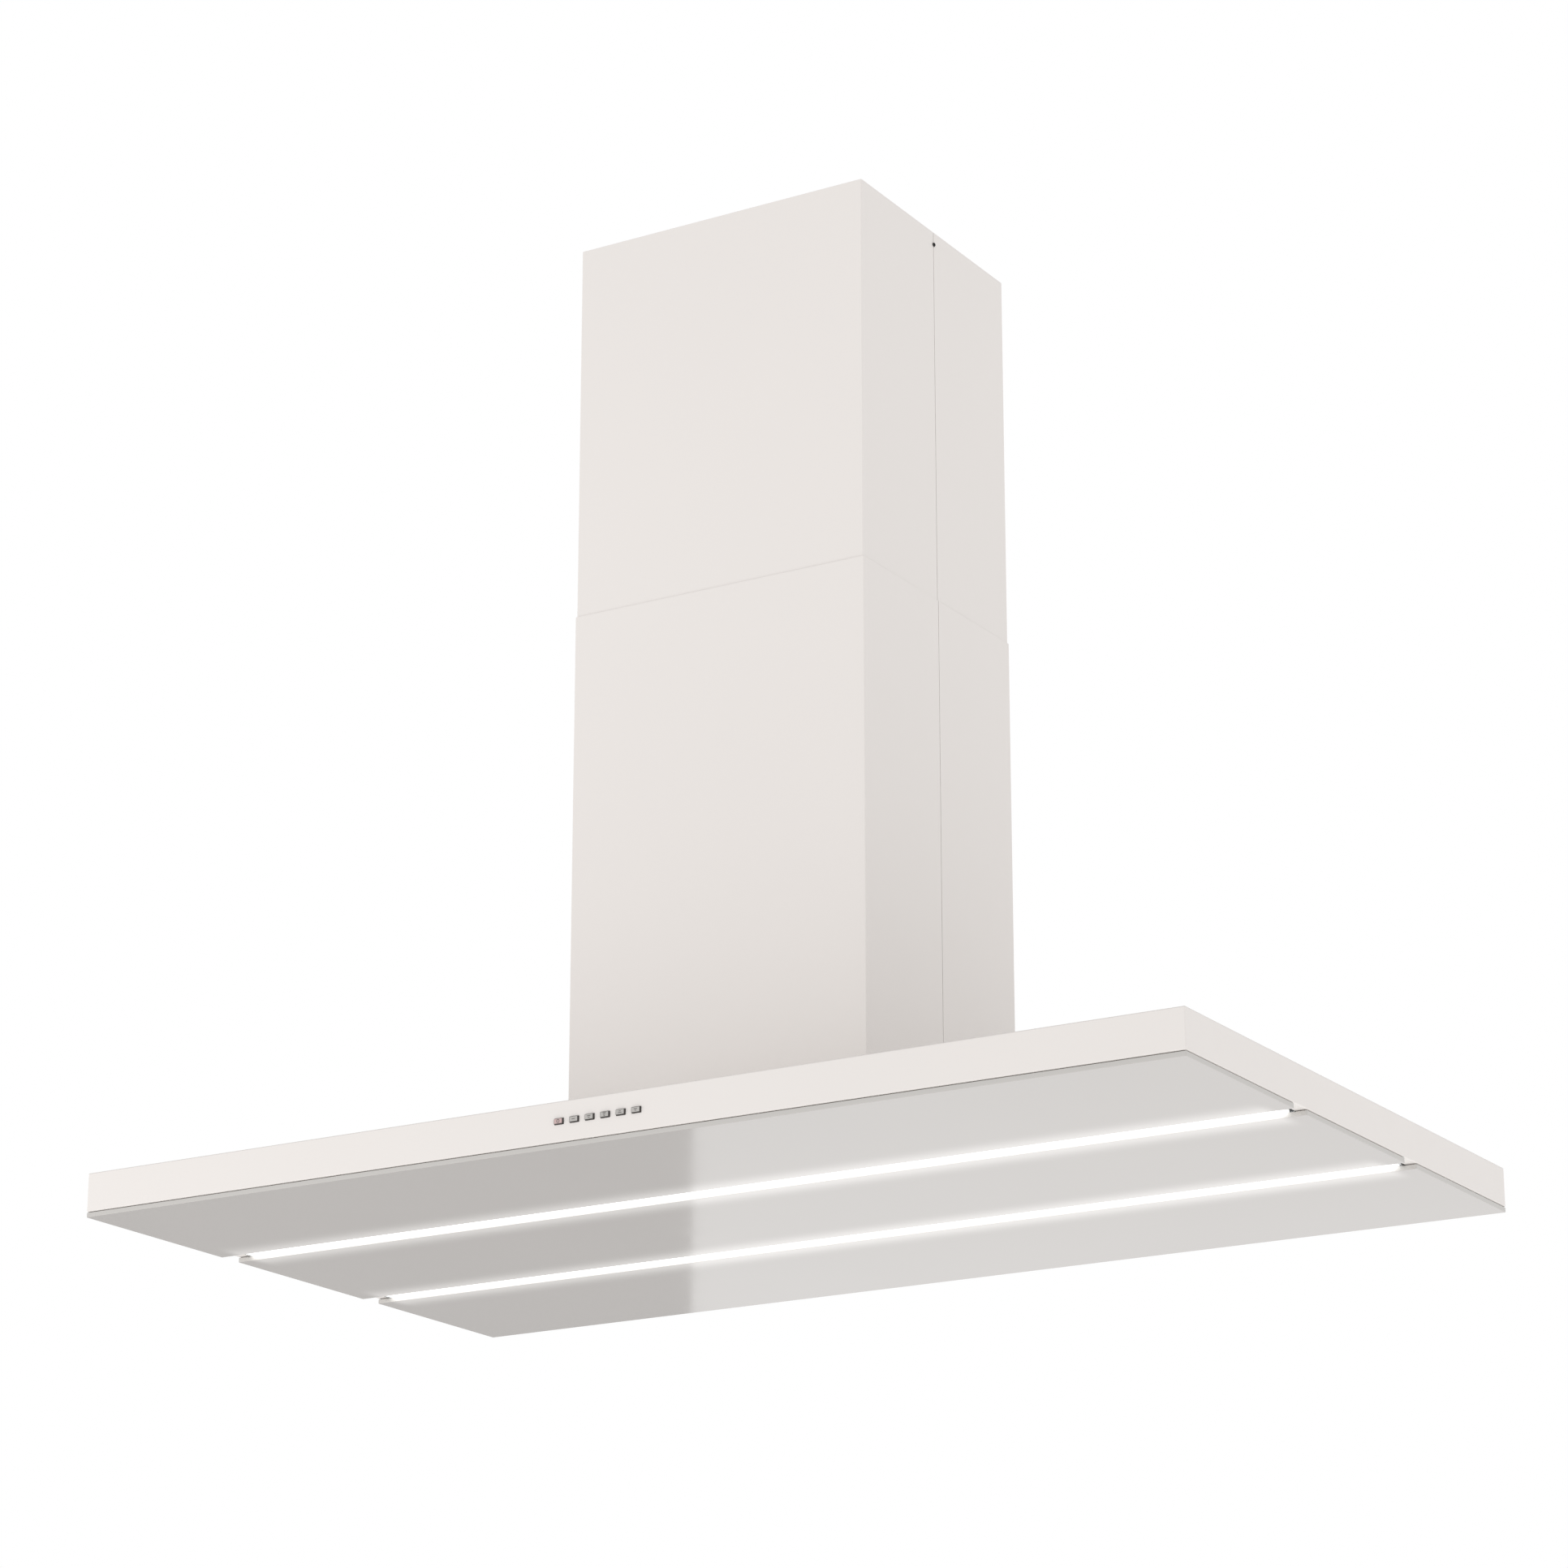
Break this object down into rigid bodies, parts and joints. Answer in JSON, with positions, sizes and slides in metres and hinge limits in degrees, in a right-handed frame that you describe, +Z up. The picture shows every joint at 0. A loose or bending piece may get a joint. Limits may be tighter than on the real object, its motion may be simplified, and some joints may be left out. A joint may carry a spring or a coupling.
{
  "type": "island range hood",
  "caption": "Ceiling-hung island range hood with a telescopic rectangular chimney, flat oblong canopy, hinged glass panels, light bars and push buttons.",
  "frame": {"origin": "centre of the underside of the glass panels, which is the bottom centre of the part", "axes": "+X along the long side of the canopy, -Y towards the push buttons, +Z up towards the ceiling"},
  "size_m": [1.2, 0.702, 1.0134],
  "materials": {
    "white_paint": "satin-gloss white powder coat",
    "white_backed_glass": "polished glass with a white painted back",
    "opal_diffuser": "opal, lit from inside",
    "galvanised_steel": "galvanised sheet",
    "aluminium": "satin",
    "zinc_plated_steel": "zinc plated",
    "dark_screw_steel": "blackened",
    "grey_button": "satin",
    "tinted_button": "satin, red tint",
    "black_plastic": "moulded",
    "circuit_board": "solder mask",
    "grey_plastic": "moulded"
  },
  "bodies": {
    "ceiling_frame": {"ceiling_plate": "galvanised_steel", "upper_frame": "galvanised_steel", "upper_cover_front": "white_paint", "upper_cover_rear": "white_paint", "cover_screw_left": "dark_screw_steel", "cover_screw_right": "dark_screw_steel"},
    "hood": {"lower_frame": "galvanised_steel", "lower_cover_front": "white_paint", "lower_cover_rear": "white_paint", "canopy_shell": "white_paint", "canopy_pan": "galvanised_steel", "hinge_rail_left": "zinc_plated_steel", "hinge_rail_right": "zinc_plated_steel", "led_channel_front": "aluminium", "led_channel_rear": "aluminium", "led_board_front": "circuit_board", "led_board_rear": "circuit_board", "led_diffuser_front": "opal_diffuser", "led_diffuser_rear": "opal_diffuser", "button_housing": "black_plastic", "control_board": "circuit_board", "filter_frame_left": "aluminium", "filter_frame_right": "aluminium", "filter_mesh_left": "aluminium", "filter_mesh_right": "aluminium", "motor_box": "galvanised_steel", "blower_housing_front": "black_plastic", "blower_housing_rear": "black_plastic", "motor": "zinc_plated_steel", "motor_spider": "zinc_plated_steel", "outlet_collar": "grey_plastic", "damper_rod": "zinc_plated_steel", "junction_box": "grey_plastic", "led_driver": "grey_plastic", "magnet_front_left": "black_plastic", "magnet_front_right": "black_plastic", "magnet_centre_left": "black_plastic", "magnet_centre_right": "black_plastic", "magnet_rear_left": "black_plastic", "magnet_rear_right": "black_plastic"},
    "front_panel": {"glass_panel_front": "white_backed_glass", "panel_tray_front": "zinc_plated_steel"},
    "centre_panel": {"glass_panel_centre": "white_backed_glass", "panel_tray_centre": "zinc_plated_steel"},
    "rear_panel": {"glass_panel_rear": "white_backed_glass", "panel_tray_rear": "zinc_plated_steel"},
    "wheel": {"impeller": "black_plastic", "motor_shaft": "zinc_plated_steel"},
    "left_flap": {"damper_flap_left": "grey_plastic"},
    "right_flap": {"damper_flap_right": "grey_plastic"},
    "left_latch": {"filter_latch_left": "zinc_plated_steel"},
    "right_latch": {"filter_latch_right": "zinc_plated_steel"},
    "push_button_1": {"button_1": "tinted_button"},
    "push_button_2": {"button_2": "grey_button"},
    "push_button_3": {"button_3": "grey_button"},
    "push_button_4": {"button_4": "grey_button"},
    "push_button_5": {"button_5": "grey_button"},
    "push_button_6": {"button_6": "grey_button"}
  },
  "joints": [
    {"name": "height_slide", "type": "slide", "parent": "ceiling_frame", "child": "hood", "axis": [0, 0, 1], "range_m": [-0.08, 0.2]},
    {"name": "front_panel_hinge", "type": "hinge", "parent": "hood", "child": "front_panel", "pos_m": [0, -0.13067, 0.0086], "axis": [1, 0, 0], "range_deg": [0, 85]},
    {"name": "centre_panel_hinge", "type": "hinge", "parent": "hood", "child": "centre_panel", "pos_m": [0, 0.11167, 0.0086], "axis": [1, 0, 0], "range_deg": [0, 85]},
    {"name": "rear_panel_hinge", "type": "hinge", "parent": "hood", "child": "rear_panel", "pos_m": [0, 0.13067, 0.0086], "axis": [-1, 0, 0], "range_deg": [0, 85]},
    {"name": "wheel_spin", "type": "hinge", "parent": "hood", "child": "wheel", "pos_m": [0.02259, 0, 0.1497], "axis": [0, 1, 0], "continuous": true},
    {"name": "left_flap_hinge", "type": "hinge", "parent": "hood", "child": "left_flap", "pos_m": [0, 0, 0.35], "axis": [0, 1, 0], "range_deg": [0, 75]},
    {"name": "right_flap_hinge", "type": "hinge", "parent": "hood", "child": "right_flap", "pos_m": [0, 0, 0.35], "axis": [0, -1, 0], "range_deg": [0, 75]},
    {"name": "left_latch_slide", "type": "slide", "parent": "hood", "child": "left_latch", "axis": [1, 0, 0], "range_m": [0, 0.005], "stiffness_N_per_m": 400, "springref_m": -0.002},
    {"name": "right_latch_slide", "type": "slide", "parent": "hood", "child": "right_latch", "axis": [-1, 0, 0], "range_m": [0, 0.005], "stiffness_N_per_m": 400, "springref_m": -0.002},
    {"name": "button_1_press", "type": "slide", "parent": "hood", "child": "push_button_1", "axis": [0, 1, 0], "range_m": [0, 0.0015], "stiffness_N_per_m": 800, "springref_m": -0.0005},
    {"name": "button_2_press", "type": "slide", "parent": "hood", "child": "push_button_2", "axis": [0, 1, 0], "range_m": [0, 0.0015], "stiffness_N_per_m": 800, "springref_m": -0.0005},
    {"name": "button_3_press", "type": "slide", "parent": "hood", "child": "push_button_3", "axis": [0, 1, 0], "range_m": [0, 0.0015], "stiffness_N_per_m": 800, "springref_m": -0.0005},
    {"name": "button_4_press", "type": "slide", "parent": "hood", "child": "push_button_4", "axis": [0, 1, 0], "range_m": [0, 0.0015], "stiffness_N_per_m": 800, "springref_m": -0.0005},
    {"name": "button_5_press", "type": "slide", "parent": "hood", "child": "push_button_5", "axis": [0, 1, 0], "range_m": [0, 0.0015], "stiffness_N_per_m": 800, "springref_m": -0.0005},
    {"name": "button_6_press", "type": "slide", "parent": "hood", "child": "push_button_6", "axis": [0, 1, 0], "range_m": [0, 0.0015], "stiffness_N_per_m": 800, "springref_m": -0.0005}
  ]
}
